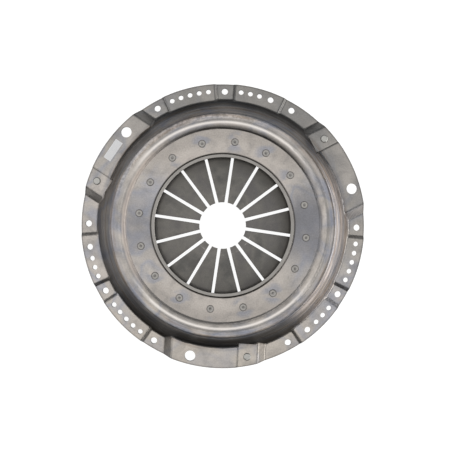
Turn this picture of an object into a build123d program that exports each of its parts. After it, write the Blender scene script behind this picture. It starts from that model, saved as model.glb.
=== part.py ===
import os
from math import cos, hypot, radians, sin, tan

from build123d import *

os.makedirs("parts", exist_ok=True)

# clutch axis on Z, the flange's mounting face at Z 0, the gearbox side up
sheet = 4.5
cover_radius = 203.2
third_turns = (0, 120, 240)

# heights of the flange's upper face, section by section
mount_top = sheet
balance_top = 8.2
pad_top = 15.5
raised_top = 17.0
ramp_run = 1.0
top_round = 6.5
foot_round = 4.0
step_run = 4.0
step_round = 7.0
wall_foot_round = 3.0
wall_foot_under_round = 1.5

# dome section, each corner set in from the one outside it
flange_width = 22.1
wall_lean = 0.6
shoulder_inset = 24.7
shoulder_top = 45.7
crest_inset = 11.9
crest_top = 48.7
toe_inset = 8.5
annulus_top = 42.0
shoulder_round = 9.0
crest_round = 5.5
toe_round = 5.0
rivet_inset = 18.8
collar_inset = 22.7
collar_rise = 4.0
collar_round = 2.5
collar_edge_chamfer = 0.4
form_floor = -30.0
trim_floor = -10.0
form_ceiling = 80.0
form_reach = 450.0
same_place = 0.05

# holes in the flange, angles from the first bolt group's middle hole
bolt_edge = 10.2
group_angle = 89.1
group_steps = (-30, 0, 30)
mount_hole = 4.5
balance_hole = 3.5
balance_steps = (-15, -11, -7, 7, 11, 15, 19, 23)
gauge_hole = 4.25
gauge_step = -20
access_edge = 12.0
access_hole = 7.5
access_step = 46.8

# raised flange sections, angles of their top edges; the skewed one is given at the shoulder and at the rim
balance_sections = ((184.1, 204.5), (213.3, 234.6))
raised_start_shoulder = 123.1
raised_start_rim = 128.8

# strap pads, in a frame that runs along the strap from its rivet on the cover
pad_angle = 160.5
pad_rivet_edge = 13.0
strap_skew = 104.0
pad_before = 15.0
pad_after = 15.0
pad_depth = 18.0
pocket_after = 12.5
pocket_lean = 12.0
pocket_reach = 60.0
pocket_height = 40.0

# spring pivots
rivet_count = 16
rivet_first_angle = 14.1
rivet_shank = 4.0
rivet_hole_gap = 0.1
rivet_shoulder = 4.3
rivet_head = 5.2
rivet_head_height = 0.9
rivet_dimple = 1.6
rivet_dimple_depth = 0.4
rivet_foot = 8.5
rivet_foot_height = 3.0
wire = 2.5

# diaphragm spring, a cone whose tips point up
spring_sheet = 3.8
spring_cone = 10.2
spring_lever = 26.0
tip_radius = 32.2
tip_bend_radius = 46.0
tip_drop = 0.6
spring_edge_round = 1.2
slot_tip_width = 4.55
slot_root_width = 3.9
window_inward = 11.2
window_outward = 7.8
window_width = 14.0
window_round = 4.0

# straps, three leaves a pack
strap_length = 55.0
strap_end = 11.0
strap_width = 22.0
leaf_count = 3
leaf = 1.0
leaf_gap = 0.05
strap_rivet = 5.0
strap_rivet_gap = 0.1
strap_head = 5.4
strap_head_flat = 4.3
strap_head_shoulder = 5.1
strap_shoulder_height = 1.1
strap_head_height = 1.6
strap_foot = 8.0
strap_foot_height = 3.0
moving_gap = 0.3

# pressure plate, unloaded: its friction face below the mounting face
friction_z = -12.0
friction_inset = 0.1
friction_width = 78.0
rim_top = -7.2
rim_width = 17.0
body_top = 12.0
bore_slope = 4.0
bore_drop = 6.0
body_draft = 3.0
plate_chamfer = 1.5
ridge_inset = 4.5
ridge_width = 7.0
ridge_foot_width = 13.0
ridge_round = 2.5
lug_bottom = -9.0
lug_top = -0.6
lug_tip = 14.0
lug_root_width = 44.0
lug_root_inset = 14.0
lug_shoulder_reach = 9.0
plate_rivet_head = 7.5
plate_rivet_head_height = 1.6
plate_rivet_foot_height = 2.0
rivet_seat_gap = 0.8

# inspection label, bare
label_angle = 145.5
label_edge = 13.9
label_length = 31.5
label_width = 11.6
label_thickness = 0.15

wall_foot_radius = cover_radius - flange_width
shoulder = (wall_foot_radius - shoulder_inset, shoulder_top)
crest = (shoulder[0] - crest_inset, crest_top)
toe = (crest[0] - toe_inset, annulus_top)
rivet_circle = toe[0] - rivet_inset
collar_inner = rivet_circle - collar_inset
collar_outer = collar_inner + sheet
collar_top = annulus_top + collar_rise
bolt_circle = cover_radius - bolt_edge
access_circle = cover_radius - access_edge
pad_rivet_circle = cover_radius - pad_rivet_edge
label_circle = cover_radius - label_edge

wire_circle = rivet_circle + rivet_shoulder + wire
spring_outer = wire_circle + spring_lever
window_start = rivet_circle - window_inward
window_end = rivet_circle + window_outward
window_circle = (window_start + window_end) / 2
slot_start = tip_radius / 2

friction_outer = wall_foot_radius - friction_inset
plate_bore = friction_outer - friction_width
body_inner_top = plate_bore + bore_slope
body_outer = friction_outer - rim_width
lug_root_radius = body_outer - lug_root_inset
lug_shoulder_radius = body_outer + lug_shoulder_reach
ridge_circle = spring_outer - ridge_inset

annulus_under = annulus_top - sheet
cone_rise = tan(radians(spring_cone))
half_spring = spring_sheet / 2 / cos(radians(spring_cone))
wire_to_spring = (wire + spring_sheet / 2) / cos(radians(spring_cone))
upper_wire_z = annulus_under - wire
spring_z = upper_wire_z - wire_to_spring
lower_wire_z = spring_z - wire_to_spring
rivet_foot_top = lower_wire_z - wire
ridge_edge = ridge_circle + ridge_width / 2
ridge_top = spring_z - (ridge_edge - wire_circle) * cone_rise - half_spring - moving_gap

pad_under = pad_top - sheet
leaf_pitch = leaf + leaf_gap
pack = leaf_pitch * (leaf_count - 1) + leaf
pack_lug_z = lug_top + moving_gap


def polar(radius, angle):
    return (radius * cos(radians(angle)), radius * sin(radians(angle)))


def strap_plane(turn):
    direction = pad_angle - strap_skew + turn
    return Plane(
        origin=(*polar(pad_rivet_circle, pad_angle + turn), 0),
        x_dir=(*polar(1, direction), 0),
        z_dir=(0, 0, 1),
    )


def profile_block(plane, corners, drop, both_ways=True):
    # a prism across the flange, its upper side the given line; corners hold x, height and rounding
    with BuildPart() as block:
        with BuildSketch(plane):
            with BuildLine():
                Polyline(
                    (-form_reach, form_floor),
                    (-form_reach, corners[0][1]),
                    *[(x, z) for x, z, size in corners],
                    (form_reach, corners[-1][1]),
                    (form_reach, form_floor),
                    close=True,
                )
            make_face()
            for x, z, size in corners:
                fillet(vertices().sort_by_distance((x, z, 0))[0], size)
            if drop:
                offset(amount=-drop, kind=Kind.INTERSECTION)
        extrude(amount=form_reach, both=both_ways)
    return block.part


def edge_plane(near, far, rising):
    # stands across the line from near to far
    # its x runs into the section, to the left of the line when rising is 1, to its right when -1
    along = Vector(*far, 0) - Vector(*near, 0)
    along = along.normalized() * rising
    return Plane(origin=(*near, 0), x_dir=(-along.Y, along.X, 0), z_dir=(along.X, along.Y, 0))


def ramp(top):
    return [
        (-(top - mount_top) * ramp_run, mount_top, foot_round),
        (0, top, top_round),
    ]


def section_form(first, last):
    with BuildPart() as section:
        add(first)
        add(last, mode=Mode.INTERSECT)
    return section.part


def wall_foot_edges(edges, drop):
    # where the dome's wall meets the flange
    back = drop * hypot(1, wall_lean)
    found = []
    for edge in edges:
        points = [edge @ t for t in (0, 0.5, 1)]
        gaps = [
            hypot(p.X, p.Y) + back - wall_foot_radius - wall_lean * (mount_top - p.Z) for p in points
        ]
        if max(abs(gap) for gap in gaps) < same_place and points[1].Z < raised_top + sheet:
            found.append(edge)
    return found


def pressed_form(drop, foot_size):
    # everything below one face of the pressed sheet, which lies drop under the upper face
    sections = []
    for turn in third_turns:
        for start, end in balance_sections:
            first = edge_plane((0, 0), polar(cover_radius, start + turn), 1)
            last = edge_plane((0, 0), polar(cover_radius, end + turn), -1)
            sections.append(
                section_form(
                    profile_block(first, ramp(balance_top), drop),
                    profile_block(last, ramp(balance_top), drop),
                )
            )
        near = polar(shoulder[0], raised_start_shoulder + turn)
        far = polar(cover_radius, raised_start_rim + turn)
        raised_start = edge_plane(near, far, 1)
        along = strap_plane(turn)
        across = Plane(origin=along.origin, x_dir=along.x_dir, z_dir=-along.y_dir)
        step_foot = pad_after - step_run
        pad_line = [
            (-pad_before - (pad_top - mount_top) * ramp_run, mount_top, foot_round),
            (-pad_before, pad_top, top_round),
            (step_foot, pad_top, step_round),
            (pad_after, raised_top, step_round),
        ]
        sections.append(
            section_form(
                profile_block(raised_start, ramp(raised_top), drop, both_ways=False),
                profile_block(across, pad_line, drop),
            )
        )
    with BuildPart() as form:
        for section in sections:
            add(section)
        with BuildSketch(Plane.XZ):
            add(dome_section.sketch)
            if drop:
                offset(amount=-drop, kind=Kind.INTERSECTION)
        revolve(axis=Axis.Z)
        fillet(wall_foot_edges(edges(), drop), foot_size)
        for turn in third_turns:
            pocket_wall = pad_depth + drop
            pocket_side = pocket_after + drop
            with BuildSketch(strap_plane(turn).offset(pad_top - drop)):
                Polygon(
                    (-pocket_reach, -pocket_wall),
                    (pocket_side, -pocket_wall),
                    (pocket_side, pocket_reach),
                    (-pocket_reach, pocket_reach),
                    align=None,
                )
            extrude(amount=pocket_height, taper=-pocket_lean, mode=Mode.SUBTRACT)
    return form


with BuildSketch() as dome_section:
    with BuildLine():
        Polyline(
            (0, form_floor),
            (wall_foot_radius + wall_lean * (mount_top - form_floor), form_floor),
            shoulder,
            crest,
            toe,
            (collar_outer, annulus_top),
            (collar_outer, form_ceiling),
            (0, form_ceiling),
            close=True,
        )
    make_face()
    for corner, size in (
        (shoulder, shoulder_round),
        (crest, crest_round),
        (toe, toe_round),
        ((collar_outer, annulus_top), collar_round),
    ):
        fillet(vertices().sort_by_distance((*corner, 0))[0], size)

outer_form = pressed_form(0, wall_foot_round)
inner_form = pressed_form(sheet, wall_foot_under_round)

flange_holes = [
    (mount_hole, bolt_circle, group_steps),
    (balance_hole, bolt_circle, balance_steps),
    (gauge_hole, bolt_circle, (gauge_step,)),
    (access_hole, access_circle, (access_step,)),
    (strap_rivet + strap_rivet_gap, pad_rivet_circle, (pad_angle - group_angle,)),
]

with BuildPart() as cover:
    add(outer_form.part)
    add(inner_form.part, mode=Mode.SUBTRACT)
    with BuildSketch(Plane.XY.offset(trim_floor)):
        Circle(cover_radius)
        Circle(collar_inner, mode=Mode.SUBTRACT)
    extrude(amount=form_ceiling - trim_floor, mode=Mode.INTERSECT)
    with BuildSketch(Plane.XY.offset(collar_top)):
        Circle(collar_outer + collar_round)
    extrude(amount=form_ceiling, mode=Mode.SUBTRACT)
    chamfer(edges().filter_by_position(Axis.Z, collar_top, collar_top), collar_edge_chamfer)
    with BuildSketch(Plane.XY.offset(trim_floor)):
        for size, circle, steps in flange_holes:
            for turn in third_turns:
                with Locations(*[polar(circle, group_angle + step + turn) for step in steps]):
                    Circle(size)
        with PolarLocations(rivet_circle, rivet_count, start_angle=rivet_first_angle):
            Circle(rivet_shank + rivet_hole_gap)
    extrude(amount=form_ceiling - trim_floor, mode=Mode.SUBTRACT)
cover.part.label = "cover"
export_step(cover.part, "parts/cover.step")


def section_turned(outline):
    # a ring or pin from its half section, given as radius and height
    with BuildPart() as turned:
        with BuildSketch(Plane.XZ):
            Polygon(*outline, align=None)
        revolve(axis=Axis.Z)
    return turned.part


for name, height in (("upper_fulcrum_ring", upper_wire_z), ("lower_fulcrum_ring", lower_wire_z)):
    with BuildPart() as ring:
        with BuildSketch(Plane.XZ):
            with Locations((wire_circle, height)):
                Circle(wire)
        revolve(axis=Axis.Z)
    ring.part.label = name
    export_step(ring.part, f"parts/{name}.step")


def cone_z(radius):
    return spring_z + (wire_circle - radius) * cone_rise


with BuildPart() as diaphragm_spring:
    with BuildSketch(Plane.XZ):
        with BuildLine():
            Polyline(
                (tip_radius, cone_z(tip_bend_radius) + half_spring - tip_drop),
                (tip_bend_radius, cone_z(tip_bend_radius) + half_spring),
                (spring_outer, cone_z(spring_outer) + half_spring),
                (spring_outer, cone_z(spring_outer) - half_spring),
                (tip_bend_radius, cone_z(tip_bend_radius) - half_spring),
                (tip_radius, cone_z(tip_bend_radius) - half_spring - tip_drop),
                close=True,
            )
        make_face()
        fillet(vertices().group_by(Axis.X)[-1], spring_edge_round)
    revolve(axis=Axis.Z)
    with BuildSketch():
        with PolarLocations(0, rivet_count, start_angle=rivet_first_angle):
            Polygon(
                (slot_start, -slot_tip_width / 2),
                (window_start + window_round, -slot_root_width / 2),
                (window_start + window_round, slot_root_width / 2),
                (slot_start, slot_tip_width / 2),
                align=None,
            )
        with PolarLocations(window_circle, rivet_count, start_angle=rivet_first_angle):
            RectangleRounded(window_end - window_start, window_width, window_round)
    extrude(amount=form_ceiling, mode=Mode.SUBTRACT)
diaphragm_spring.part.label = "diaphragm_spring"
export_step(diaphragm_spring.part, "parts/diaphragm_spring.step")

rivet_face = annulus_top + rivet_head_height
with BuildPart() as spring_rivet:
    with BuildSketch(Plane.XZ):
        with BuildLine():
            Polyline(
                (0, rivet_face - rivet_dimple_depth),
                (rivet_dimple, rivet_face),
                (rivet_head - rivet_head_height / 2, rivet_face),
                (rivet_head, rivet_face - rivet_head_height / 2),
                (rivet_head, annulus_top),
                (rivet_shank, annulus_top),
                (rivet_shank, annulus_under),
                (rivet_shoulder, annulus_under),
                (rivet_shoulder, rivet_foot_top),
                (rivet_foot, rivet_foot_top),
                (rivet_foot, rivet_foot_top - rivet_foot_height / 2),
                (rivet_foot - rivet_foot_height / 2, rivet_foot_top - rivet_foot_height),
                (0, rivet_foot_top - rivet_foot_height),
                close=True,
            )
        make_face()
    revolve(axis=Axis.Z)

for index in range(rivet_count):
    spot = polar(rivet_circle, rivet_first_angle + index * 360 / rivet_count)
    with BuildPart() as placed_rivet:
        with Locations((*spot, 0)):
            add(spring_rivet.part)
    name = f"spring_rivet_{index + 1:02d}"
    placed_rivet.part.label = name
    export_step(placed_rivet.part, f"parts/{name}.step")

# one leaf seen from the side: flat under the pad, eased down, flat on the lug
bend_start = strap_end
bend_end = strap_length - strap_end
strap_reach = strap_length + strap_width
level = [(1, 0), (1, 0)]
with BuildSketch() as strap_outline:
    SlotCenterToCenter(strap_length, strap_width)
    with Locations((-strap_length / 2, 0), (strap_length / 2, 0)):
        Circle(strap_rivet + moving_gap, mode=Mode.SUBTRACT)

for turn_index, turn in enumerate(third_turns):
    along = strap_plane(turn)
    side = Plane(origin=along.origin, x_dir=along.x_dir, z_dir=-along.y_dir)
    for leaf_index in range(leaf_count):
        top_z = pad_under - leaf_index * leaf_pitch
        lug_z = pack_lug_z + pack - leaf_index * leaf_pitch
        with BuildPart() as strap_leaf:
            with BuildSketch(side):
                with BuildLine():
                    Polyline(
                        (bend_start, top_z),
                        (-strap_width, top_z),
                        (-strap_width, top_z - leaf),
                        (bend_start, top_z - leaf),
                    )
                    Spline((bend_start, top_z), (bend_end, lug_z), tangents=level)
                    Polyline(
                        (bend_end, lug_z),
                        (strap_reach, lug_z),
                        (strap_reach, lug_z - leaf),
                        (bend_end, lug_z - leaf),
                    )
                    Spline((bend_start, top_z - leaf), (bend_end, lug_z - leaf), tangents=level)
                make_face()
            extrude(amount=strap_width, both=True)
            with BuildSketch(along.offset(trim_floor)):
                with Locations((strap_length / 2, 0)):
                    add(strap_outline.sketch)
            extrude(amount=form_ceiling, mode=Mode.INTERSECT)
        name = f"strap_{turn_index + 1}_leaf_{leaf_index + 1}"
        strap_leaf.part.label = name
        export_step(strap_leaf.part, f"parts/{name}.step")

strap_pack_under = pad_under - pack
cover_rivet = section_turned(
    [
        (0, pad_top + strap_head_height),
        (strap_head_flat, pad_top + strap_head_height),
        (strap_head_shoulder, pad_top + strap_shoulder_height),
        (strap_head, pad_top),
        (strap_rivet, pad_top),
        (strap_rivet, strap_pack_under),
        (strap_foot, strap_pack_under),
        (strap_foot, strap_pack_under - strap_foot_height / 2),
        (strap_foot - strap_foot_height / 2, strap_pack_under - strap_foot_height),
        (0, strap_pack_under - strap_foot_height),
    ]
)
plate_rivet_seat = pack_lug_z + pack + moving_gap
plate_rivet = section_turned(
    [
        (0, plate_rivet_seat + plate_rivet_head_height),
        (plate_rivet_head - plate_rivet_head_height, plate_rivet_seat + plate_rivet_head_height),
        (plate_rivet_head, plate_rivet_seat + plate_rivet_head_height / 2),
        (plate_rivet_head, plate_rivet_seat),
        (strap_rivet, plate_rivet_seat),
        (strap_rivet, lug_bottom),
        (plate_rivet_head, lug_bottom),
        (plate_rivet_head, lug_bottom - plate_rivet_foot_height / 2),
        (plate_rivet_head - plate_rivet_foot_height / 2, lug_bottom - plate_rivet_foot_height),
        (0, lug_bottom - plate_rivet_foot_height),
    ]
)
for turn_index, turn in enumerate(third_turns):
    for kind, rivet, reach in (("cover", cover_rivet, 0), ("plate", plate_rivet, strap_length)):
        spot = strap_plane(turn).from_local_coords(Vector(reach, 0, 0))
        with BuildPart() as placed_strap_rivet:
            with Locations(spot):
                add(rivet)
        name = f"strap_{kind}_rivet_{turn_index + 1}"
        placed_strap_rivet.part.label = name
        export_step(placed_strap_rivet.part, f"parts/{name}.step")

with BuildPart() as pressure_plate:
    with BuildSketch(Plane.XZ):
        with BuildLine():
            Polyline(
                (plate_bore, friction_z + plate_chamfer),
                (plate_bore + plate_chamfer, friction_z),
                (friction_outer - plate_chamfer, friction_z),
                (friction_outer, friction_z + plate_chamfer),
                (friction_outer, rim_top),
                (body_outer, rim_top),
                (body_outer - body_draft, body_top),
                (ridge_circle + ridge_foot_width / 2, body_top),
                (ridge_edge, ridge_top),
                (ridge_circle - ridge_width / 2, ridge_top),
                (ridge_circle - ridge_foot_width / 2, body_top),
                (body_inner_top, body_top),
                (plate_bore, body_top - bore_drop),
                close=True,
            )
        make_face()
        fillet(vertices().group_by(Axis.Y)[-1], ridge_round)
    revolve(axis=Axis.Z)
    for turn in third_turns:
        lug_spot = strap_plane(turn).from_local_coords(Vector(strap_length, 0, 0))
        lug_radius = hypot(lug_spot.X, lug_spot.Y)
        lug_frame = Plane(origin=(0, 0, lug_bottom), x_dir=(lug_spot.X, lug_spot.Y, 0), z_dir=(0, 0, 1))
        with BuildSketch(lug_frame):
            with Locations((lug_radius, 0)):
                Circle(lug_tip)
            Polygon(
                (lug_root_radius, -lug_root_width / 2),
                (lug_shoulder_radius, -lug_root_width / 2),
                (lug_radius, -lug_tip),
                (lug_radius, lug_tip),
                (lug_shoulder_radius, lug_root_width / 2),
                (lug_root_radius, lug_root_width / 2),
                align=None,
            )
        extrude(amount=lug_top - lug_bottom)
        with BuildSketch(lug_frame.offset(friction_z - lug_bottom)):
            with Locations((lug_radius, 0)):
                Circle(strap_rivet + strap_rivet_gap)
        extrude(amount=lug_top - friction_z, mode=Mode.SUBTRACT)
        with BuildSketch(lug_frame):
            with Locations((lug_radius, 0)):
                Circle(plate_rivet_head + rivet_seat_gap)
        extrude(amount=friction_z - lug_bottom, mode=Mode.SUBTRACT)
pressure_plate.part.label = "pressure_plate"
export_step(pressure_plate.part, "parts/pressure_plate.step")

with BuildPart() as inspection_label:
    with BuildSketch(Plane.XY.offset(raised_top)):
        with Locations(Location((*polar(label_circle, label_angle), 0), (0, 0, label_angle + 90))):
            Rectangle(label_length, label_width)
    extrude(amount=label_thickness)
inspection_label.part.label = "inspection_label"
export_step(inspection_label.part, "parts/inspection_label.step")
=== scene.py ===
import math

import bmesh
import bpy
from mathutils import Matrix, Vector


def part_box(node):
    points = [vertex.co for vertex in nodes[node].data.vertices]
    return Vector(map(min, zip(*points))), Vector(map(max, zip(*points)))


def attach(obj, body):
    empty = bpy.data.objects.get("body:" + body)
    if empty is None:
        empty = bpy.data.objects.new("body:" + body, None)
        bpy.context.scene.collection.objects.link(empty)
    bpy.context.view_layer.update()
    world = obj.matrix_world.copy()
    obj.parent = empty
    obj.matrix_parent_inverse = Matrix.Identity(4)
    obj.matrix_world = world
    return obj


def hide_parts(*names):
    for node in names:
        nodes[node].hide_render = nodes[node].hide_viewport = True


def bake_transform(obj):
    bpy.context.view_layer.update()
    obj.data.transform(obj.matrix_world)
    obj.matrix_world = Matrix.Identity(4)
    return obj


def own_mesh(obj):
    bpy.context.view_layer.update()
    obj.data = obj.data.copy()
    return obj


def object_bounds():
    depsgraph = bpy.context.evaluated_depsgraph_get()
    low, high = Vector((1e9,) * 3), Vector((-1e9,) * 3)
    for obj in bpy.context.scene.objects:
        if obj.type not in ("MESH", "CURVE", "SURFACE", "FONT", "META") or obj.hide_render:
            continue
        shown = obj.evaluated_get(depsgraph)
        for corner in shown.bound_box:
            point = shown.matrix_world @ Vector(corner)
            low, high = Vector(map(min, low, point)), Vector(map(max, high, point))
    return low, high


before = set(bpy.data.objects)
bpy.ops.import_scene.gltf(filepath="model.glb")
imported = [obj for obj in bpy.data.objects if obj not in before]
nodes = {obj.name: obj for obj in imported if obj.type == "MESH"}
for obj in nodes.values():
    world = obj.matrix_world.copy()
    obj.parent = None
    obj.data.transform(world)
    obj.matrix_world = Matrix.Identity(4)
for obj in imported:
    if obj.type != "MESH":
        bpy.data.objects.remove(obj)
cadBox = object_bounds()
scene = bpy.context.scene
scene.view_settings.view_transform = "Standard"
print("frame loaded:", len(nodes), "nodes")

soft = {"interpolation_type": "SMOOTHSTEP"}  # makes a Map Range node ease in and out
noiseSpan = (0.3, 0.7)  # where most values of a noise texture lie


def linearColour(code):  # sRGB hex to the linear colour that the shaders take
    parts = [int(code[i:i + 2], 16) / 255 for i in (1, 3, 5)]
    return [p / 12.92 if p <= 0.04045 else ((p + 0.055) / 1.055) ** 2.4 for p in parts] + [1.0]


# "stops" are a colour ramp's places and colours or grey levels, "span" and "result" the two ranges
# of a Map Range node; any other setting is a property of the node or the value of an input
def addNode(tree, kind, settings=None, links=None):
    node = tree.nodes.new("ShaderNode" + kind)
    settings = dict(settings or {})
    for key, ends in (("span", ("From Min", "From Max")), ("result", ("To Min", "To Max"))):
        if key in settings:
            settings.update(zip(ends, settings.pop(key)))
    for key, value in settings.items():
        if key == "stops":
            ramp = node.color_ramp
            while len(ramp.elements) < len(value):
                ramp.elements.new(1.0)
            for element, (place, colour) in zip(ramp.elements, value):
                element.position = place
                isCode = isinstance(colour, str)
                element.color = linearColour(colour) if isCode else (colour, colour, colour, 1)
        elif isinstance(key, int) or key in node.inputs:
            node.inputs[key].default_value = linearColour(value) if isinstance(value, str) else value
        else:
            setattr(node, key, value)
    for key, source in (links or {}).items():
        tree.links.new(source, node.inputs[key])
    return node


def startMaterial(name, colour, metallic, roughness):
    material = bpy.data.materials.new(name)
    material.use_nodes = True
    tree = material.node_tree
    tree.nodes.clear()
    shader = addNode(tree, "BsdfPrincipled", {
        "Base Color": colour, "Metallic": metallic, "Roughness": roughness,
    })
    addNode(tree, "OutputMaterial", links={"Surface": shader.outputs[0]})
    place = addNode(tree, "TexCoord").outputs["Object"]
    return material, tree, shader, place


# camera, straight above as in the photograph
cameraSettings = {"place": (0.0047, -0.0007, 1.1), "lens": 60.6, "sensor": 36, "nearest": 0.02}
cameraData = bpy.data.cameras.new("camera")
cameraData.lens = cameraSettings["lens"]
cameraData.sensor_width = cameraSettings["sensor"]
cameraData.clip_start = cameraSettings["nearest"]
camera = bpy.data.objects.new("camera", cameraData)
camera.location = cameraSettings["place"]
scene.collection.objects.link(camera)
scene.camera = camera
print("camera set")

# pale floor under the friction face; it looks white to the eye and in the metal, and keeps the shadow
floorSettings = {
    "half": 9.0, "gap": 0.0002, "colour": "#e9e9e8", "white": "#ffffff", "glow": 0.96, "shade": 0.2,
}
floorMesh = bmesh.new()
bmesh.ops.create_grid(floorMesh, x_segments=1, y_segments=1, size=floorSettings["half"])
floorHeight = cadBox[0][2] - floorSettings["gap"]
bmesh.ops.translate(floorMesh, verts=floorMesh.verts, vec=(0, 0, floorHeight))
floorData = bpy.data.meshes.new("floor")
floorMesh.to_mesh(floorData)
floorMesh.free()
floor = bpy.data.objects.new("floor", floorData)
scene.collection.objects.link(floor)
floorMaterial = bpy.data.materials.new("paleFloor")
floorMaterial.use_nodes = True
tree = floorMaterial.node_tree
tree.nodes.clear()
rays = addNode(tree, "LightPath")
seen = rays.outputs["Is Camera Ray"]
for ray in ("Is Glossy Ray", "Is Transmission Ray"):
    seen = addNode(tree, "Math", {"operation": "MAXIMUM"}, {0: seen, 1: rays.outputs[ray]}).outputs[0]
matt = addNode(tree, "BsdfDiffuse", {"Color": floorSettings["colour"]})
glow = addNode(tree, "Emission", {"Color": floorSettings["white"], "Strength": floorSettings["glow"]})
dimMatt = addNode(tree, "BsdfDiffuse", {"Color": [floorSettings["shade"]] * 3 + [1]})
bright = addNode(tree, "AddShader", links={0: glow.outputs[0], 1: dimMatt.outputs[0]})
mixed = addNode(tree, "MixShader", links={0: seen, 1: matt.outputs[0], 2: bright.outputs[0]})
addNode(tree, "OutputMaterial", links={"Surface": mixed.outputs[0]})
floorData.materials.append(floorMaterial)
print("floor laid")

# soft light: a pale room that is brighter on the right and dim on the near side, a broad softbox
# overhead and one low on each side
lightSettings = {
    "room": {
        "colour": "#eef1f4", "strength": 0.3,
        "right": 0.3, "rightSpan": (0.2, 1.0), "near": -0.22, "nearSpan": (-0.1, -0.9),
    },
    "lampColour": "#fffcf9", "aim": (0, 0, 0),
    "lamps": {
        "overhead": {"place": (-0.2, 0.0, 1.9), "size": (2.3, 2.5), "power": 22.5},
        "rightBox": {"place": (1.05, -0.2, 0.28), "size": (1.6, 0.55), "power": 7.6},
        "leftBox": {"place": (-1.2, 0.0, 0.6), "size": (1.1, 0.5), "power": 2.6},
    },
}
world = bpy.data.worlds.new("room")
world.use_nodes = True
scene.world = world
tree = world.node_tree
room = lightSettings["room"]
background = tree.nodes["Background"]
background.inputs[0].default_value = linearColour(room["colour"])
direction = addNode(tree, "TexCoord").outputs["Generated"]
way = addNode(tree, "SeparateXYZ", links={0: direction})
fromRight = addNode(tree, "MapRange", {
    **soft, "span": room["rightSpan"], "result": (0, room["right"]),
}, {0: way.outputs[0]})
fromNear = addNode(tree, "MapRange", {
    **soft, "span": room["nearSpan"], "result": (0, room["near"]),
}, {0: way.outputs[1]})
sides = addNode(tree, "Math", {"operation": "ADD"}, {0: fromRight.outputs[0], 1: fromNear.outputs[0]})
level = addNode(tree, "Math", {"operation": "ADD", 1: room["strength"]}, {0: sides.outputs[0]})
tree.links.new(level.outputs[0], background.inputs["Strength"])
for name, lamp in lightSettings["lamps"].items():
    lampData = bpy.data.lights.new(name, "AREA")
    lampData.shape = "RECTANGLE"
    lampData.size, lampData.size_y = lamp["size"]
    lampData.energy = lamp["power"]
    lampData.color = linearColour(lightSettings["lampColour"])[:3]
    lampObject = bpy.data.objects.new(name, lampData)
    lampObject.location = lamp["place"]
    aim = Vector(lightSettings["aim"]) - Vector(lamp["place"])
    lampObject.rotation_euler = aim.to_track_quat("-Z", "Y").to_euler()
    scene.collection.objects.link(lampObject)
print("lights set")


def aroundAxis(tree, place):  # each point's place about the clutch axis
    spot = addNode(tree, "SeparateXYZ", links={0: place})
    flat = addNode(tree, "CombineXYZ", links={0: spot.outputs[0], 1: spot.outputs[1]})
    radius = addNode(tree, "VectorMath", {"operation": "LENGTH"}, {0: flat.outputs[0]})
    unit = addNode(tree, "VectorMath", {"operation": "NORMALIZE"}, {0: flat.outputs[0]})
    return {
        "place": place, "x": spot.outputs[0], "y": spot.outputs[1], "height": spot.outputs[2],
        "radius": radius.outputs["Value"], "unit": unit.outputs[0],
    }


rivetRing = {"count": 16, "first": 14.1, "circle": 0.1172}  # degrees and metres


def fromRivet(tree, spot):  # distance from the middle of the nearest spring rivet, in metres
    half = math.pi / rivetRing["count"]
    turn = addNode(tree, "Math", {"operation": "ARCTAN2"}, {0: spot["y"], 1: spot["x"]})
    fromFirst = addNode(tree, "Math", {"operation": "SUBTRACT", 1: math.radians(rivetRing["first"])}, {
        0: turn.outputs[0],
    })
    local = addNode(tree, "Math", {"operation": "WRAP", 1: half, 2: -half}, {0: fromFirst.outputs[0]})
    along = addNode(tree, "Math", {"operation": "MULTIPLY"}, {0: local.outputs[0], 1: spot["radius"]})
    out = addNode(tree, "Math", {"operation": "SUBTRACT", 1: rivetRing["circle"]}, {0: spot["radius"]})
    offset = addNode(tree, "CombineXYZ", links={0: along.outputs[0], 1: out.outputs[0]})
    return addNode(tree, "VectorMath", {"operation": "LENGTH"}, {0: offset.outputs[0]}).outputs["Value"]


# share of a soft ring about one radius: full at the radius itself, gone at the first end of reach
def ringShare(tree, spot, ring):
    out = addNode(tree, "Math", {"operation": "SUBTRACT", 1: ring["radius"]}, {0: spot["radius"]})
    away = addNode(tree, "Math", {"operation": "ABSOLUTE"}, {0: out.outputs[0]})
    return addNode(tree, "MapRange", {
        **ring.get("curve", soft), "span": ring["reach"], "result": ring.get("share", (0, 1)),
    }, {0: away.outputs[0]}).outputs[0]


# share of the side that a direction points to
def sideShare(tree, spot, side):
    along = addNode(tree, "VectorMath", {"operation": "DOT_PRODUCT", 1: side["way"]}, {0: spot["unit"]})
    return addNode(tree, "MapRange", {
        **soft, "span": side["span"], "result": side.get("share", (0, 1)),
    }, {0: along.outputs["Value"]}).outputs[0]


# share of a soft ring, on one side only
def arcShare(tree, spot, ring, side):
    return addNode(tree, "Math", {"operation": "MULTIPLY"}, {
        0: ringShare(tree, spot, ring), 1: sideShare(tree, spot, side),
    }).outputs[0]


# share of the edges: the rounded normal turns away from the true one there
def edgeShare(tree, edge):
    rounded = addNode(tree, "Bevel", {"samples": 4, "Radius": edge["width"]})
    likeness = addNode(tree, "VectorMath", {"operation": "DOT_PRODUCT"}, {
        0: rounded.outputs[0], 1: addNode(tree, "NewGeometry").outputs["Normal"],
    })
    return addNode(tree, "MapRange", {
        "span": edge["likeness"], "result": (0, edge["share"]),
    }, {0: likeness.outputs["Value"]}).outputs[0]


# noise of one size in metres, and the colours that it spreads
def spreadTint(tree, place, pattern):
    noise = addNode(tree, "TexNoise", {"Scale": 1 / pattern["size"], **pattern["noise"]}, {
        "Vector": place,
    })
    tint = addNode(tree, "ValToRGB", {"stops": pattern["stops"]}, {0: noise.outputs[0]})
    return noise.outputs[0], tint.outputs[0]


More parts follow.
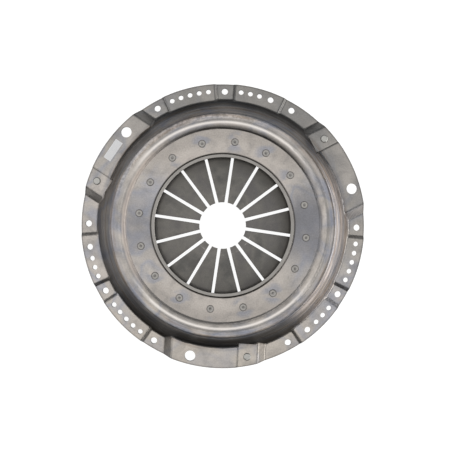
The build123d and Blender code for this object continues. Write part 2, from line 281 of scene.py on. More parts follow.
# noise of one size in metres, and how much it darkens and lightens
def spreadTone(tree, place, pattern):
    noise = addNode(tree, "TexNoise", {"Scale": 1 / pattern["size"], **pattern["noise"]}, {
        "Vector": place,
    })
    tone = addNode(tree, "MapRange", {"span": noiseSpan, "result": pattern["tone"]}, {
        0: noise.outputs[0],
    })
    return noise.outputs[0], tone.outputs[0]


# lays layers over a colour in turn; each row is a share, a tone and, if not a plain mix, a blend
def laidOver(tree, colour, rows):
    for share, tone, *blend in rows:
        settings, links = {"data_type": "RGBA", "blend_type": (blend or ["MIX"])[0]}, {6: colour}
        for socket, value in ((0, share), (7, tone)):
            (settings if isinstance(value, (str, float)) else links)[socket] = value
        colour = addNode(tree, "Mix", settings, links).outputs[2]
    return colour


# one bump over another; each row is a strength, a depth in metres and a height
def laidBumps(tree, rows):
    below = {}
    for strength, depth, height in rows:
        bump = addNode(tree, "Bump", {"Strength": strength, "Distance": depth}, {
            "Height": height, **below,
        })
        below = {"Normal": bump.outputs[0]}
    return bump.outputs[0]


def linkShader(tree, shader, colour, rough, bump):
    for socket, source in (("Base Color", colour), ("Roughness", rough), ("Normal", bump)):
        if source:
            tree.links.new(source, shader.inputs[socket])


# where the sheet's looks lie, as shares: the dome's top by height, the annulus and the slope by
# radius, the near and far sides by direction, the steep and the drawn faces by how they face
def sheetZones(tree, spot):
    look = {
        "top": (0.02, 0.04), "annulus": (0.143, 0.133), "lengthways": (0.85, 0.4),
        "steep": (0.93, 0.45), "drawn": (0.998, 0.93), "drawnShare": (0.08, 1),
        "slope": {"radius": 0.1372, "reach": (0.0042, 0.0012)},
    }
    across = addNode(tree, "SeparateXYZ", links={0: spot["unit"]}).outputs[0]
    sideways = addNode(tree, "Math", {"operation": "MULTIPLY"}, {0: across, 1: across}).outputs[0]
    normal = addNode(tree, "NewGeometry").outputs["Normal"]
    facing = addNode(tree, "SeparateXYZ", links={0: normal}).outputs[2]
    zones = {"across": across, "sideways": sideways, "slope": ringShare(tree, spot, look["slope"])}
    for name, source, settings in (
        ("top", spot["height"], {}), ("annulus", spot["radius"], soft), ("lengthways", sideways, soft),
        ("steep", facing, soft), ("drawn", facing, {"result": look["drawnShare"]}),
    ):
        zones[name] = addNode(tree, "MapRange", {**settings, "span": look[name]}, {0: source}).outputs[0]
    # warm: the annulus's near and far sides, where painted sheen and painted shade lie
    for name, first, second in (("topAnnulus", "annulus", "top"), ("warm", "lengthways", "topAnnulus")):
        zones[name] = addNode(tree, "Math", {"operation": "MULTIPLY"}, {
            0: zones[first], 1: zones[second],
        }).outputs[0]
    return zones


# the washed and dried sheet: warm grey with faint blue and pink patches and small stains; painted light,
# sheen and shade lie over it as well
def driedSheetWithPaintedLight(tree, spot, zones):
    look = {
        "patches": {
            "size": 0.062, "noise": {"Detail": 2.0, "Roughness": 0.5, "Distortion": 0.6},
            "stops": ((0.36, "#a8a39e"), (0.47, "#9e9a96"), (0.55, "#8f9096"), (0.66, "#aba6a0")),
        },
        "nearLight": "#aaa399", "nearLightSide": {"way": (-0.1, -1.0, 0), "span": (0.55, 0.95), "share": (0, 0.42)},
        "warm": "#a29d98", "outerShadeRadius": (0.111, 0.127), "outerShadeShare": (0, 0.17),
        "shadedFarSide": {"way": (0.38, 0.92, 0), "span": (0.45, 0.85), "share": (0, 0.32)},
        "sideShadeTop": "#6d6e73", "sideShadeFlange": "#767573", "sideShadeSpan": (0.6, 1.6), "sideShadePatches": 0.8,
        "sideShadeLean": 0.15, "sideShadeNarrowing": 3.0, "sideShadeInner": 0.65, "sideShadeOuter": 0.2,
        "sideShadeCorner": (0.35, 0.94, 0), "sideShadeCornerShare": 0.6, "sideShadeEverywhere": 0.4,
        "stain": "#7a7979", "stainSize": 0.021, "stainSpan": (0.5, 0.78), "stainShare": (0, 0.45),
        "stainNoise": {"Detail": 5.0, "Roughness": 0.6, "Distortion": 0.4},
        "drip": "#7f828b", "dripSize": 0.022, "dripStretch": (0.5, 1.0, 1.0), "dripSpan": (0.5, 0.6),
        "dripNoise": {"Detail": 3.0}, "dripReach": (0.019, 0.008), "dripShare": (0, 0.7),
    }
    patches, tint = spreadTint(tree, spot["place"], look["patches"])
    # painted light: the near part of the flange is lighter and warmer
    nearLight = addNode(tree, "Mix", {3: 0.0}, {0: zones["top"], 2: sideShare(tree, spot, look["nearLightSide"])})
    # painted sheen: the annulus is warmer on its near and far sides, and painted shade darkens it
    # outwards there; painted shade darkens the slope beyond it on the far side
    outerPart = addNode(tree, "MapRange", {
        **soft, "span": look["outerShadeRadius"], "result": look["outerShadeShare"],
    }, {0: spot["radius"]})
    outerShade = addNode(tree, "Math", {"operation": "MULTIPLY"}, {0: outerPart.outputs[0], 1: zones["warm"]})
    shadedFarSlope = addNode(tree, "Math", {"operation": "MULTIPLY"}, {
        0: zones["slope"], 1: sideShare(tree, spot, look["shadedFarSide"]),
    })
    shadeDepth = addNode(tree, "Math", {"operation": "ADD"}, {0: outerShade.outputs[0], 1: shadedFarSlope.outputs[0]})
    kept = addNode(tree, "Math", {"operation": "SUBTRACT", 0: 1.0}, {1: shadeDepth.outputs[0]})
    # painted shade, cooler and darker with patchy edges: at both sides of the dome's top, and at the
    # flange's upper right
    narrow = addNode(tree, "Math", {"operation": "POWER", 1: look["sideShadeNarrowing"]}, {
        0: zones["sideways"],
    })
    atSides = addNode(tree, "Math", {"operation": "MULTIPLY_ADD", 1: look["sideShadeLean"]}, {
        0: zones["across"], 2: narrow.outputs[0],
    })
    inner = addNode(tree, "Math", {
        "operation": "MULTIPLY_ADD", 1: look["sideShadeInner"], 2: look["sideShadeOuter"],
    }, {0: zones["annulus"]})
    onTop = addNode(tree, "Math", {"operation": "MULTIPLY"}, {0: atSides.outputs[0], 1: inner.outputs[0]})
    corner = addNode(tree, "VectorMath", {"operation": "DOT_PRODUCT", 1: look["sideShadeCorner"]}, {
        0: spot["unit"],
    })
    onFlange = addNode(tree, "Math", {
        "operation": "MULTIPLY_ADD", 1: look["sideShadeCornerShare"], 2: look["sideShadeEverywhere"],
    }, {0: corner.outputs["Value"]})
    sideShadeShare = addNode(tree, "Mix", links={0: zones["top"], 2: onFlange.outputs[0], 3: onTop.outputs[0]})
    sideShadeTone = addNode(tree, "Mix", {
        "data_type": "RGBA", 6: look["sideShadeFlange"], 7: look["sideShadeTop"],
    }, {0: zones["top"]})
    sideShadeEdge = addNode(tree, "Math", {"operation": "MULTIPLY_ADD", 1: look["sideShadePatches"]}, {
        0: patches, 2: sideShadeShare.outputs[0],
    })
    sideShade = addNode(tree, "MapRange", {**soft, "span": look["sideShadeSpan"]}, {0: sideShadeEdge.outputs[0]})
    stains = addNode(tree, "TexNoise", {"Scale": 1 / look["stainSize"], **look["stainNoise"]}, {
        "Vector": spot["place"],
    })
    stainMask = addNode(tree, "MapRange", {"span": look["stainSpan"], "result": look["stainShare"]}, {
        0: stains.outputs[0],
    })
    # washing water has dried in bluish marks beside some rivets
    byRivet = addNode(tree, "MapRange", {**soft, "span": look["dripReach"], "result": look["dripShare"]}, {
        0: fromRivet(tree, spot),
    })
    stretched = addNode(tree, "VectorMath", {"operation": "MULTIPLY", 1: look["dripStretch"]}, {
        0: spot["place"],
    })
    drips = addNode(tree, "TexNoise", {"Scale": 1 / look["dripSize"], **look["dripNoise"]}, {
        "Vector": stretched.outputs[0],
    })
    dripMask = addNode(tree, "MapRange", {**soft, "span": look["dripSpan"]}, {0: drips.outputs[0]})
    dripShare = addNode(tree, "Math", {"operation": "MULTIPLY"}, {
        0: byRivet.outputs[0], 1: dripMask.outputs[0],
    })
    dripTop = addNode(tree, "Math", {"operation": "MULTIPLY"}, {
        0: dripShare.outputs[0], 1: zones["topAnnulus"],
    })
    colour = laidOver(tree, tint, (
        (nearLight.outputs[0], look["nearLight"]), (zones["warm"], look["warm"]),
        (1.0, kept.outputs[0], "MULTIPLY"), (sideShade.outputs[0], sideShadeTone.outputs[2]),
        (stainMask.outputs[0], look["stain"]), (dripTop.outputs[0], look["drip"]),
    ))
    return colour, stains.outputs[0]


# scuffs from handling, outside the crest on the upper left, and a rusty smear on the wall's lower right
def handledSheet(tree, spot, colour):
    look = {
        "scuffs": {
            "size": 0.0055, "noise": {"Detail": 4.0, "Roughness": 0.65, "Distortion": 0.5},
            "stops": ((0.4, "#85827f"), (0.5, "#9f9b97"), (0.6, "#c1bcb7")),
        },
        "scuffRing": {"radius": 0.1522, "reach": (0.0065, 0.0008), "share": (0, 0.6)},
        "scuffSide": {"way": (-0.42, 0.91, 0), "span": (0.55, 0.85)},
        "rust": "#94826a", "rustRing": {"radius": 0.17, "reach": (0.013, 0.002), "share": (0, 0.75)},
        "rustSide": {"way": (0.837, -0.547, 0), "span": (0.985, 0.998)},
    }
    return laidOver(tree, colour, (
        (
            arcShare(tree, spot, look["scuffRing"], look["scuffSide"]),
            spreadTint(tree, spot["place"], look["scuffs"])[1],
        ),
        (arcShare(tree, spot, look["rustRing"], look["rustSide"]), look["rust"]),
    ))


# steep faces are darkened with painted shade, with marks and score lines that run round the dome; real
# score lines are a few tenths of a millimetre apart, too fine to show, so they are drawn coarser
def drawnWall(tree, spot, zones, colour):
    look = {
        "wall": "#c6c6c6", "nearShade": "#5e5d5b", "nearShadeSide": {"way": (-0.21, -0.98, 0), "span": (0.45, 0.9)},
        "nearShadeRadius": (0.1565, 0.1615), "nearShadeShare": (0.15, 1),
        "rightHighlight": "#ece1d8", "rightHighlightSide": {"way": (0.99, -0.14, 0), "span": (0.62, 0.88)},
        "rightHighlightRing": {"radius": 0.1615, "reach": (0.004, 0.0004), "share": (0.42, 1)},
        "turnStretch": 0.012, "streakSpan": (0.4, 0.58), "streakShare": (0.45, 1),
        "scores": {"size": 0.0024, "noise": {"Detail": 4.0, "Roughness": 0.65}, "tone": (0.8, 1.18)},
        "marks": {
            "size": 0.008, "noise": {"Detail": 2.0, "Roughness": 0.5},
            "stops": ((0.38, "#cdc3bb"), (0.5, "#ecebec"), (0.62, "#d0d6e2")),
        },
        "markFrom": (0.1475, 0.1505), "markTo": (0.18, 0.177), "markShare": (0, 0.8),
    }
    # painted shade darkens the wall, most on the near side, and a painted highlight, streaked along the
    # turn, lightens it on the right
    belowShoulder = addNode(tree, "MapRange", {"span": look["nearShadeRadius"], "result": look["nearShadeShare"]}, {
        0: spot["radius"],
    })
    nearShadeShare = addNode(tree, "Math", {"operation": "MULTIPLY"}, {
        0: sideShare(tree, spot, look["nearShadeSide"]), 1: belowShoulder.outputs[0],
    })
    wallShade = addNode(tree, "Mix", {"data_type": "RGBA", 6: look["wall"], 7: look["nearShade"]}, {
        0: nearShadeShare.outputs[0],
    })
    # noise drawn out along the turn
    profile = addNode(tree, "Math", {"operation": "SUBTRACT"}, {0: spot["radius"], 1: spot["height"]})
    lift = addNode(tree, "CombineXYZ", links={2: profile.outputs[0]})
    turned = addNode(tree, "VectorMath", {
        "operation": "MULTIPLY_ADD", 1: (look["turnStretch"], look["turnStretch"], 0),
    }, {0: spot["unit"], 2: lift.outputs[0]})
    scores, scoreTone = spreadTone(tree, turned.outputs[0], look["scores"])
    markTone = spreadTint(tree, turned.outputs[0], look["marks"])[1]
    streaks = addNode(tree, "MapRange", {
        **soft, "span": look["streakSpan"], "result": look["streakShare"],
    }, {0: scores})
    rightHighlight = addNode(tree, "Math", {"operation": "MULTIPLY"}, {
        0: arcShare(tree, spot, look["rightHighlightRing"], look["rightHighlightSide"]), 1: zones["steep"],
    })
    rightHighlightWall = addNode(tree, "Math", {"operation": "MULTIPLY"}, {
        0: rightHighlight.outputs[0], 1: streaks.outputs[0],
    })
    outward = addNode(tree, "MapRange", {"span": look["markFrom"], "result": look["markShare"]}, {
        0: spot["radius"],
    })
    inward = addNode(tree, "MapRange", {"span": look["markTo"]}, {0: spot["radius"]})
    markShare = addNode(tree, "Math", {"operation": "MULTIPLY"}, {
        0: outward.outputs[0], 1: inward.outputs[0],
    })
    colour = laidOver(tree, colour, (
        (zones["steep"], wallShade.outputs[2], "MULTIPLY"), (rightHighlightWall.outputs[0], look["rightHighlight"]),
        (markShare.outputs[0], markTone, "MULTIPLY"), (zones["drawn"], scoreTone, "MULTIPLY"),
    ))
    return colour, scores


# the crest is rubbed where covers rub in a stack and has a painted highlight on its near and far sides; the
# slope inside it has a painted highlight, with a brown streak, on the left
def rubbedAndHighlightedTop(tree, spot, zones, colour):
    look = {
        "slope": "#d2c5bb", "slopeHighlightSide": {"way": (-0.99, 0.12, 0), "span": (0.6, 0.92), "share": (0, 0.62)},
        "crest": "#d3cfcb", "crestRing": {"radius": 0.1437, "reach": (0.0034, 0.0005), "share": (0, 0.75)},
    }
    slope = addNode(tree, "Math", {"operation": "MULTIPLY"}, {
        0: zones["slope"], 1: sideShare(tree, spot, look["slopeHighlightSide"]),
    })
    crest = addNode(tree, "Math", {"operation": "MULTIPLY"}, {
        0: ringShare(tree, spot, look["crestRing"]), 1: zones["lengthways"],
    })
    colour = laidOver(tree, colour, ((slope.outputs[0], look["slope"]), (crest.outputs[0], look["crest"])))
    return colour, crest.outputs[0]


# sheared and rubbed edges are bright, the collar's end and the rim duller; painted shade darkens the
# creases, found by ambient occlusion, the collar's foot and a thin line at the outer rim
def edgedSheet(tree, spot, colour):
    look = {
        "collar": "#878582", "collarHeight": (0.0452, 0.0456), "collarRadius": (0.101, 0.1),
        "bright": "#bab6b0", "sheared": "#5b5854", "rimRadius": (0.189, 0.195),
        "edge": {"width": 0.0011, "likeness": (0.985, 0.85), "share": 0.5},
        "shadeLineTone": "#403d3a", "creaseReach": 0.006, "creaseSpan": (0.8, 0.25), "creaseShare": (0, 0.65),
        "footRing": {"radius": 0.1004, "reach": (0.0016, 0.0006), "share": (0, 0.75), "curve": {}},
        "rimLine": (0.2008, 0.203), "rimShare": (0, 0.6),
    }
    atRim = addNode(tree, "MapRange", {"span": look["rimRadius"]}, {0: spot["radius"]})
    edgeTone = addNode(tree, "Mix", {"data_type": "RGBA", 6: look["bright"], 7: look["sheared"]}, {
        0: atRim.outputs[0],
    })
    collarEnd = addNode(tree, "Math", {"operation": "MULTIPLY"}, {
        0: addNode(tree, "MapRange", {"span": look["collarHeight"]}, {0: spot["height"]}).outputs[0],
        1: addNode(tree, "MapRange", {"span": look["collarRadius"]}, {0: spot["radius"]}).outputs[0],
    })
    hollow = addNode(tree, "AmbientOcclusion", {"samples": 6, "Distance": look["creaseReach"]})
    creases = addNode(tree, "MapRange", {"span": look["creaseSpan"], "result": look["creaseShare"]}, {
        0: hollow.outputs["AO"],
    })
    rimLine = addNode(tree, "MapRange", {"span": look["rimLine"], "result": look["rimShare"]}, {
        0: spot["radius"],
    })
    lines = addNode(tree, "Math", {"operation": "MAXIMUM"}, {
        0: rimLine.outputs[0], 1: ringShare(tree, spot, look["footRing"]),
    })
    shadeLines = addNode(tree, "Math", {"operation": "MAXIMUM"}, {0: creases.outputs[0], 1: lines.outputs[0]})
    return laidOver(tree, colour, (
        (collarEnd.outputs[0], look["collar"]), (edgeShare(tree, look["edge"]), edgeTone.outputs[2]),
        (shadeLines.outputs[0], look["shadeLineTone"]),
    ))


# soft steps in height turn the light as the real pressing does: a tight toe, a round crest nearer
# the axis, a flatter top outside it, and a faint ring drawn into the wall
def pressedHeight(tree, spot):
    look = {"steps": (
        (0.1335, 0.1375, 0.0009), (0.136, 0.1468, -0.0042),
        (0.147, 0.1595, 0.003), (0.1655, 0.1695, 0.0008),
    )}
    heights = [addNode(tree, "MapRange", {**soft, "span": (start, end), "result": (0, rise)}, {
        0: spot["radius"],
    }).outputs[0] for start, end, rise in look["steps"]]
    total = heights[0]
    for height in heights[1:]:
        total = addNode(tree, "Math", {"operation": "ADD"}, {0: total, 1: height}).outputs[0]
    return total


# deep-drawn low-carbon steel sheet, washed and dried: satin warm grey, made of its dried, handled,
# drawn, rubbed and edged looks in turn, which carry painted light and shade as well; its rolled grain
# is really a few tenths of a millimetre, too fine to show, so it is drawn coarser
def drawnSteelSheet():
    look = {
        "base": "#a8a39e", "metallic": 1.0, "roughness": (0.3, 0.42), "roughSpan": (0.35, 0.65),
        "wallRoughness": 0.52,
        "grain": {"size": 0.0021, "noise": {"Detail": 3.0, "Roughness": 0.7}, "tone": (0.88, 1.12)},
        "waveSize": 0.025, "waveDetail": 2.0,
        "bumps": {
            "pressed": (1.0, 1.0), "wave": (0.4, 0.0005),
            "score": (0.35, 0.00008), "grain": (0.4, 0.00005),
        },
    }
    material, tree, shader, place = startMaterial(
        "drawnSteelSheet", look["base"], look["metallic"], look["roughness"][0],
    )
    spot = aroundAxis(tree, place)
    zones = sheetZones(tree, spot)
    colour, stains = driedSheetWithPaintedLight(tree, spot, zones)
    colour = handledSheet(tree, spot, colour)
    grain, grainTone = spreadTone(tree, place, look["grain"])
    colour = laidOver(tree, colour, ((1.0, grainTone, "MULTIPLY"),))
    colour, scores = drawnWall(tree, spot, zones, colour)
    colour, crest = rubbedAndHighlightedTop(tree, spot, zones, colour)
    colour = edgedSheet(tree, spot, colour)
    rough = addNode(tree, "MapRange", {"span": look["roughSpan"], "result": look["roughness"]}, {
        0: stains,
    })
    wallRough = addNode(tree, "Mix", {3: look["wallRoughness"]}, {0: zones["steep"], 2: rough.outputs[0]})
    crestRough = addNode(tree, "Mix", {3: look["roughness"][0]}, {0: crest, 2: wallRough.outputs[0]})
    wave = addNode(tree, "TexNoise", {"Scale": 1 / look["waveSize"], "Detail": look["waveDetail"]}, {
        "Vector": place,
    })
    scoreHeight = addNode(tree, "Math", {"operation": "MULTIPLY"}, {0: scores, 1: zones["drawn"]})
    bump = laidBumps(tree, (
        (*look["bumps"]["pressed"], pressedHeight(tree, spot)), (*look["bumps"]["wave"], wave.outputs[0]),
        (*look["bumps"]["score"], scoreHeight.outputs[0]), (*look["bumps"]["grain"], grain),
    ))
    linkShader(tree, shader, colour, crestRough.outputs[0], bump)
    return material


# chrome-vanadium spring steel, hardened, tempered and shot-peened: even dark grey with a pitted
# satin, polished where the release bearing runs on the tips; the pits are really a few tenths of
# a millimetre, too fine to show, so they are drawn coarser
def peenedSpringSteel():
    look = {
        "base": "#696766", "skin": {
            "size": 0.028, "noise": {"Detail": 3.0, "Roughness": 0.5},
            "stops": ((0.36, "#696766"), (0.52, "#73716d"), (0.66, "#62615f")),
        },
        "pitSize": 0.0011, "pitSpan": (0.0, 0.8), "pitTone": (0.88, 1.08), "pitBump": (0.35, 0.00008),
        "contact": "#a5a29d", "contactRadius": (0.0382, 0.0438),
        "contactStops": ((0.0, 0.0), (0.35, 0.0), (0.5, 1.0), (0.65, 0.0)),
        "scuffSize": 0.00625, "scuffNoise": {"Detail": 4.0, "Roughness": 0.7},
        "scuffSpan": (0.48, 0.66), "scuffShare": (0, 0.8),
        "bearingSide": {"way": (0.2, -0.98, 0), "span": (0.2, 0.85), "share": (0.25, 1)},
        "collarShadow": "#55534f", "collarShadowRadius": (0.07, 0.099), "collarShadowWay": (0.7, 0.7, 0),
        "collarShadowSideShare": 0.45, "collarShadowEverywhere": 0.5,
        "bright": "#8d8a85", "edge": {"width": 0.0006, "likeness": (0.98, 0.85), "share": 0.6},
        "metallic": 0.9, "roughness": (0.52, 0.3),
    }
    material, tree, shader, place = startMaterial(
        "peenedSpringSteel", look["base"], look["metallic"], look["roughness"][0],
    )
    spot = aroundAxis(tree, place)
    skin = spreadTint(tree, place, look["skin"])[1]
    pits = addNode(tree, "TexVoronoi", {"Scale": 1 / look["pitSize"]}, {
        "Vector": place,
    }).outputs["Distance"]
    pitTone = addNode(tree, "MapRange", {"span": look["pitSpan"], "result": look["pitTone"]}, {0: pits})
    # the bearing has run hardest on the near side
    atRing = addNode(tree, "MapRange", {"span": look["contactRadius"]}, {0: spot["radius"]})
    ring = addNode(tree, "ValToRGB", {"stops": look["contactStops"]}, {0: atRing.outputs[0]})
    scuffs = addNode(tree, "TexNoise", {"Scale": 1 / look["scuffSize"], **look["scuffNoise"]}, {
        "Vector": place,
    })
    scuffMask = addNode(tree, "MapRange", {"span": look["scuffSpan"], "result": look["scuffShare"]}, {
        0: scuffs.outputs[0],
    })
    onNear = addNode(tree, "Math", {"operation": "MULTIPLY"}, {
        0: ring.outputs[0], 1: sideShare(tree, spot, look["bearingSide"]),
    })
    contact = addNode(tree, "Math", {"operation": "MULTIPLY"}, {
        0: onNear.outputs[0], 1: scuffMask.outputs[0],
    })
    # painted shadow of the collar darkens the fingers towards it, most at the far right
    towardsCollar = addNode(tree, "MapRange", {**soft, "span": look["collarShadowRadius"]}, {0: spot["radius"]})
    farRight = addNode(tree, "VectorMath", {"operation": "DOT_PRODUCT", 1: look["collarShadowWay"]}, {
        0: spot["unit"],
    })
    collarShadowSide = addNode(tree, "Math", {
        "operation": "MULTIPLY_ADD", 1: look["collarShadowSideShare"], 2: look["collarShadowEverywhere"],
    }, {0: farRight.outputs["Value"]})
    collarShadow = addNode(tree, "Math", {"operation": "MULTIPLY"}, {
        0: towardsCollar.outputs[0], 1: collarShadowSide.outputs[0],
    })
    colour = laidOver(tree, skin, (
        (1.0, pitTone.outputs[0], "MULTIPLY"), (collarShadow.outputs[0], look["collarShadow"]),
        (contact.outputs[0], look["contact"]), (edgeShare(tree, look["edge"]), look["bright"]),
    ))
    rough = addNode(tree, "MapRange", {"result": look["roughness"]}, {0: contact.outputs[0]})
    linkShader(tree, shader, colour, rough.outputs[0], laidBumps(tree, ((*look["pitBump"], pits),)))
    return material


# a plain bare metal with grain and bright edges, for wire, rivets and straps; its real grain is
# finer than a tenth of a millimetre, too fine to show, so it is drawn coarser
def bareMetal(name, look):
    common = {
        "places": (0.35, 0.5, 0.65), "roughSpan": (0.35, 0.65),
        "patchNoise": {"Detail": 4.0, "Roughness": 0.6}, "grainNoise": {"Detail": 3.0, "Roughness": 0.7},
        "grainTone": (0.9, 1.08), "likeness": (0.985, 0.85), "bumpStrength": 0.4, "metallic": 1.0,
    }
    material, tree, shader, place = startMaterial(
        name, look["colours"][0], common["metallic"], look["roughness"][0],
    )
    patches, tint = spreadTint(tree, place, {
        "size": look["patchSize"], "noise": common["patchNoise"],
        "stops": list(zip(common["places"], look["colours"])),
    })
    grain, grainTone = spreadTone(tree, place, {
        "size": look["grainSize"], "noise": common["grainNoise"], "tone": common["grainTone"],
    })
    layers = [(1.0, grainTone, "MULTIPLY")]
    if "rings" in look:  # painted shade on an upset head: dark rim and dimple, lighter between
        outwards = addNode(tree, "MapRange", {"span": (0, look["head"])}, {
            0: fromRivet(tree, aroundAxis(tree, place)),
        })
        rings = addNode(tree, "ValToRGB", {"stops": look["rings"]}, {0: outwards.outputs[0]})
        layers.append((1.0, rings.outputs[0], "MULTIPLY"))
    edge = {"width": look["edgeWidth"], "likeness": common["likeness"], "share": look["edgeShare"]}
    layers.append((edgeShare(tree, edge), look["edge"]))
    rough = addNode(tree, "MapRange", {"span": common["roughSpan"], "result": look["roughness"]}, {
        0: patches,
    })
    bump = laidBumps(tree, ((common["bumpStrength"], look["grainDepth"], grain),))
    linkShader(tree, shader, laidOver(tree, tint, layers), rough.outputs[0], bump)
    return material


# grey cast iron, sand cast, its friction face turned: dark sandy skin, lighter turned rings; the
# real sand grain and tool feed are a few tenths of a millimetre, so both are drawn coarser
def greyCastIron():
    look = {
        "base": "#4d4a48", "sand": {
            "size": 0.0016, "noise": {"Detail": 4.0, "Roughness": 0.7},
            "stops": ((0.35, "#4d4a48"), (0.5, "#57534f"), (0.65, "#444241")),
        },
        "turned": "#8d8b88", "ringSize": 0.0012, "ringNoise": {"noise_dimensions": "1D", "Detail": 3.0},
        "ringTone": (0.82, 1.12), "faceHeight": (-0.0109, -0.0112), "metallic": 0.75,
        "roughness": (0.72, 0.38), "sandBump": (0.5, 0.0002),
    }
    material, tree, shader, place = startMaterial(
        "greyCastIron", look["base"], look["metallic"], look["roughness"][0],
    )
    spot = aroundAxis(tree, place)
    sand, skin = spreadTint(tree, place, look["sand"])
    rings = addNode(tree, "TexNoise", {**look["ringNoise"], "Scale": 1 / look["ringSize"]}, {
        "W": spot["radius"],
    })
    ringTone = addNode(tree, "MapRange", {"span": noiseSpan, "result": look["ringTone"]}, {
        0: rings.outputs[0],
    })
    turned = addNode(tree, "Mix", {
        "data_type": "RGBA", "blend_type": "MULTIPLY", 0: 1.0, 6: look["turned"],
    }, {7: ringTone.outputs[0]})
    face = addNode(tree, "MapRange", {"span": look["faceHeight"]}, {0: spot["height"]})
    colour = laidOver(tree, skin, ((face.outputs[0], turned.outputs[2]),))
    rough = addNode(tree, "MapRange", {"result": look["roughness"]}, {0: face.outputs[0]})
    linkShader(tree, shader, colour, rough.outputs[0], laidBumps(tree, ((*look["sandBump"], sand),)))
    return material


# matt paper-faced label film, bare: near white with faint fibres, which are drawn coarser than the
# real ones of a tenth of a millimetre
def labelFilm():
    look = {
        "base": "#eff0f1", "metallic": 0.0, "roughness": 0.5, "fibreBump": (0.2, 0.00003), "fibres": {
            "size": 0.0012, "noise": {"Detail": 4.0, "Roughness": 0.6},
            "stops": ((0.4, "#eff0f1"), (0.62, "#e6e7ea")),
        },
    }
    material, tree, shader, place = startMaterial(
        "labelFilm", look["base"], look["metallic"], look["roughness"],
    )
    fibres, tint = spreadTint(tree, place, look["fibres"])
    linkShader(tree, shader, tint, None, laidBumps(tree, ((*look["fibreBump"], fibres),)))
    return material


coverSteel = drawnSteelSheet()
springSteel = peenedSpringSteel()
plateIron = greyCastIron()
paperFilm = labelFilm()
# drawn spring wire, bright and smooth
wireSteel = bareMetal("drawnSpringWire", {
    "colours": ("#8d8a86", "#96938e", "#84817d"), "roughness": (0.26, 0.38), "patchSize": 0.02,
    "grainSize": 0.0012, "grainDepth": 0.00002, "edge": "#a8a49e", "edgeWidth": 0.0003, "edgeShare": 0.7,
})
# cold-upset mild steel: squeezed grain, dull, with painted shade at the head's rim and in its dimple
rivetSteel = bareMetal("upsetRivetSteel", {
    "colours": ("#9d9b98", "#a5a3a0", "#959390"), "roughness": (0.34, 0.46), "patchSize": 0.004,
    "grainSize": 0.0012, "grainDepth": 0.00005, "edge": "#67645f", "edgeWidth": 0.0005, "edgeShare": 0.5,
    "head": 0.0052,
    "rings": ((0.0, 0.66), (0.2, 0.52), (0.36, 0.58), (0.5, 0.82), (0.68, 0.8), (0.84, 0.54), (0.97, 0.4)),
})
# zinc-plated rivet: an even grey with a darker rim
zincPlate = bareMetal("zincPlatedRivet", {
    "colours": ("#9b9b98", "#a1a19e", "#939390"), "roughness": (0.32, 0.44), "patchSize": 0.006,
    "grainSize": 0.0014, "grainDepth": 0.00003, "edge": "#7d807d", "edgeWidth": 0.0006, "edgeShare": 0.3,
})
# cold-rolled strap steel, hardened and blued
strapSteel = bareMetal("bluedStrapSteel", {
    "colours": ("#4c5058", "#565a61", "#43464d"), "roughness": (0.3, 0.42), "patchSize": 0.015,
    "grainSize": 0.0015, "grainDepth": 0.00003, "edge": "#8b8d90", "edgeWidth": 0.0004, "edgeShare": 0.7,
})
finishes = {
    "cover": coverSteel, "diaphragm_spring": springSteel, "pressure_plate": plateIron,
    "inspection_label": paperFilm, "upper_fulcrum_ring": wireSteel, "lower_fulcrum_ring": wireSteel,
}
for name, node in nodes.items():
    if name.startswith("spring_rivet"):
        finish = rivetSteel
    elif name.startswith("strap"):
        finish = strapSteel if "leaf" in name else zincPlate
    else:
        finish = finishes[name]
    if not node.data.materials:
        node.data.materials.append(finish)
    for index in range(len(node.data.materials)):
        node.data.materials[index] = finish
print("finishes given to", len(nodes), "nodes")

pieceSettings = {"weld": 1e-6, "cutReach": 1e-7, "sharpAngle": 32}  # metres, metres and degrees


def polar(radius, degrees):  # a point level with the mounting face, or a direction
    turn = math.radians(degrees)
    return Vector((radius * math.cos(turn), radius * math.sin(turn), 0))


def nodeCopy(name):  # a merged copy, because the node's own mesh is loose triangles
    copy = bmesh.new()
    copy.from_mesh(nodes[name].data)
    bmesh.ops.remove_doubles(copy, verts=copy.verts, dist=pieceSettings["weld"])
    return copy


def cutAt(mesh, point, outward, clear=True, closed=True):
    cut = bmesh.ops.bisect_plane(
        mesh, geom=mesh.verts[:] + mesh.edges[:] + mesh.faces[:], dist=pieceSettings["cutReach"],
        plane_co=point, plane_no=outward, clear_outer=clear,
    )
    if clear and closed:
        rim = [part for part in cut["geom_cut"] if isinstance(part, bmesh.types.BMEdge)]
        bmesh.ops.holes_fill(mesh, edges=rim, sides=0)


def pieceFrom(mesh, name, finish):
    data = bpy.data.meshes.new(name)
    mesh.to_mesh(data)
    mesh.free()
    if "custom_normal" in data.attributes:
        data.attributes.remove(data.attributes["custom_normal"])
    data.shade_smooth()
    data.set_sharp_from_angle(angle=math.radians(pieceSettings["sharpAngle"]))
    data.materials.clear()
    data.materials.append(finish)
    piece = bpy.data.objects.new(name, data)
    scene.collection.objects.link(piece)
    return piece


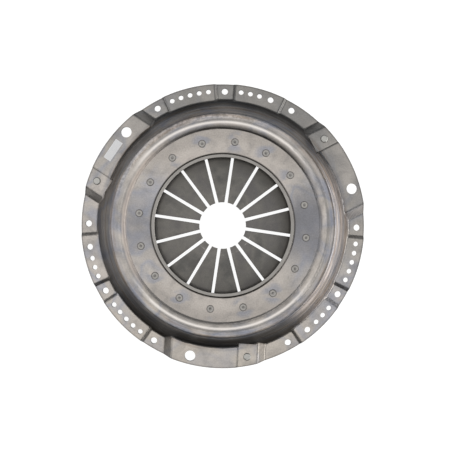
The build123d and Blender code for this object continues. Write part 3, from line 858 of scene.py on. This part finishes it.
# the diaphragm spring: its fingers lie flat as the plate is lifted, and its outer band rises with
# the ridge; the two meet between the fulcrum rings
springSettings = {
    "fingers": 16, "firstSlot": 14.1, "thickness": 0.0038, "seam": 0.1224, "pivotHeight": 0.03053,
    "keep": 0.02, "topFacing": 0.5, "edgeRound": 0.0004, "edgeSegments": 2, "edgeAngle": 40,
    "riseFrom": 0.1255, "riseTo": 0.1475, "loopStep": 0.0025,
}
seam = springSettings["seam"]
pitch = 360 / springSettings["fingers"]
fingerMesh = nodeCopy("diaphragm_spring")
underside = [face for face in fingerMesh.faces if face.normal.z < springSettings["topFacing"]]
bmesh.ops.delete(fingerMesh, geom=underside, context="FACES")
for index in range(springSettings["fingers"]):
    middle = springSettings["firstSlot"] + (index + 0.5) * pitch
    cutAt(fingerMesh, polar(seam, middle), polar(1, middle), closed=False)
fingers = pieceFrom(fingerMesh, "springFingers", springSteel)
wall = fingers.modifiers.new("thickness", "SOLIDIFY")
wall.thickness = springSettings["thickness"]
wall.offset = -1
edge = fingers.modifiers.new("edgeRound", "BEVEL")
edge.width = springSettings["edgeRound"]
edge.segments = springSettings["edgeSegments"]
edge.limit_method = "ANGLE"
edge.angle_limit = math.radians(springSettings["edgeAngle"])
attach(fingers, "cover_assembly")
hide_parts("diaphragm_spring")
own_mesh(fingers)
for index in range(springSettings["fingers"]):
    start = springSettings["firstSlot"] + index * pitch
    middle = start + pitch / 2
    bandMesh = nodeCopy("diaphragm_spring")
    cutAt(bandMesh, (0, 0, 0), polar(1, start - 90))
    cutAt(bandMesh, (0, 0, 0), polar(1, start + pitch + 90))
    cutAt(bandMesh, polar(seam, middle), polar(-1, middle))
    loop = springSettings["riseFrom"]
    while loop < springSettings["riseTo"]:  # loops of edges, so that the band can bend
        cutAt(bandMesh, polar(loop, middle), polar(1, middle), clear=False)
        loop += springSettings["loopStep"]
    band = pieceFrom(bandMesh, f"springBand_{index + 1:02d}", springSteel)
    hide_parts("diaphragm_spring")
    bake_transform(band)
print("diaphragm spring made")

# strap leaves: a copy of each in strap steel; each leaf is riveted to the cover at one end and the plate at
# the other
strapSettings = {"packs": 3, "leaves": 3, "clampedEnd": 0.2}
for pack in range(1, strapSettings["packs"] + 1):
    for kind in ("cover", "plate"):
        low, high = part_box(f"strap_{kind}_rivet_{pack}")
        middle = (low + high) / 2
    for leaf in range(1, strapSettings["leaves"] + 1):
        name = f"strap_{pack}_leaf_{leaf}"
        strap = pieceFrom(nodeCopy(name), f"strapLeaf_{pack}_{leaf}", strapSteel)
        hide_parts(name)
        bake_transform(strap)
print("strap leaves made")
